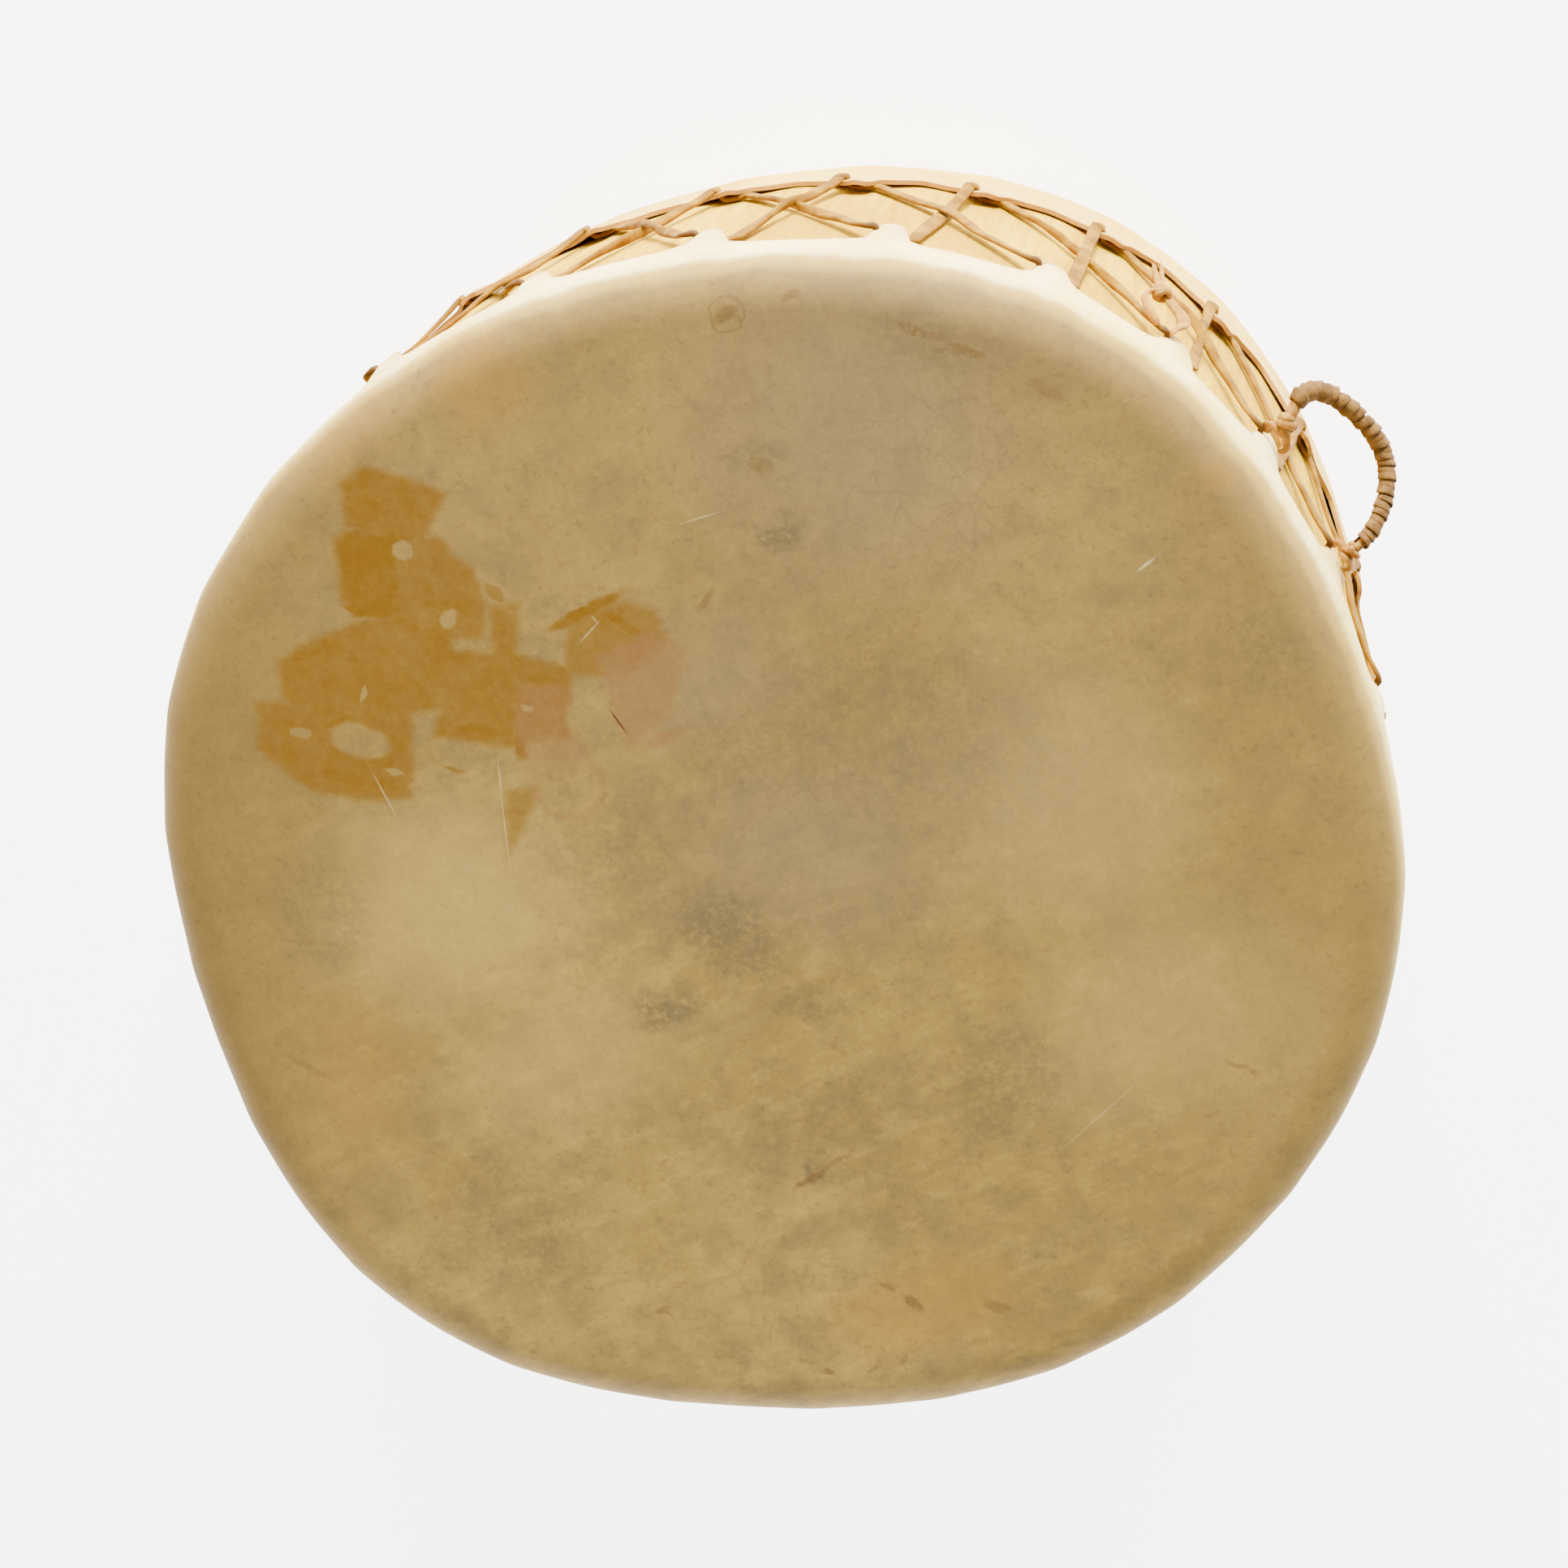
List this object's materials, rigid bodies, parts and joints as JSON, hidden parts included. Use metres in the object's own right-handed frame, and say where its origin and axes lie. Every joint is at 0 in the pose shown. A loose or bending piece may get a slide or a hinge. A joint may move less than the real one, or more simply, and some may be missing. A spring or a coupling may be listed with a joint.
{
  "type": "laced log drum",
  "caption": "Low hollow log drum with a rawhide head on each end, scalloped skirts laced in a zigzag with a thong, a wrapped carrying handle and a small knotted loop",
  "frame": {"origin": "middle of the back head's flat face, on which the drum lies", "axes": "+Z is the drum's axis, out of the playing head; the handle is on the side between +X and +Y"},
  "size_m": [0.4603, 0.4599, 0.178],
  "materials": {
    "shell_wood": "bare, smoothed, faint grain",
    "front_rawhide": "scraped rawhide, worn satin, stained",
    "back_rawhide": "scraped rawhide, satin",
    "lacing_thong": "rawhide thong, translucent edges",
    "handle_cord": "pale cord",
    "wrapping_thong": "weathered thong",
    "loop_thong": "rawhide thong, translucent"
  },
  "bodies": {
    "root": {"shell": "shell_wood", "front_head": "front_rawhide", "back_head": "back_rawhide", "lacing": "lacing_thong", "handle_core": "handle_cord", "handle_wrap": "wrapping_thong", "lace_loop": "loop_thong"}
  },
  "joints": []
}
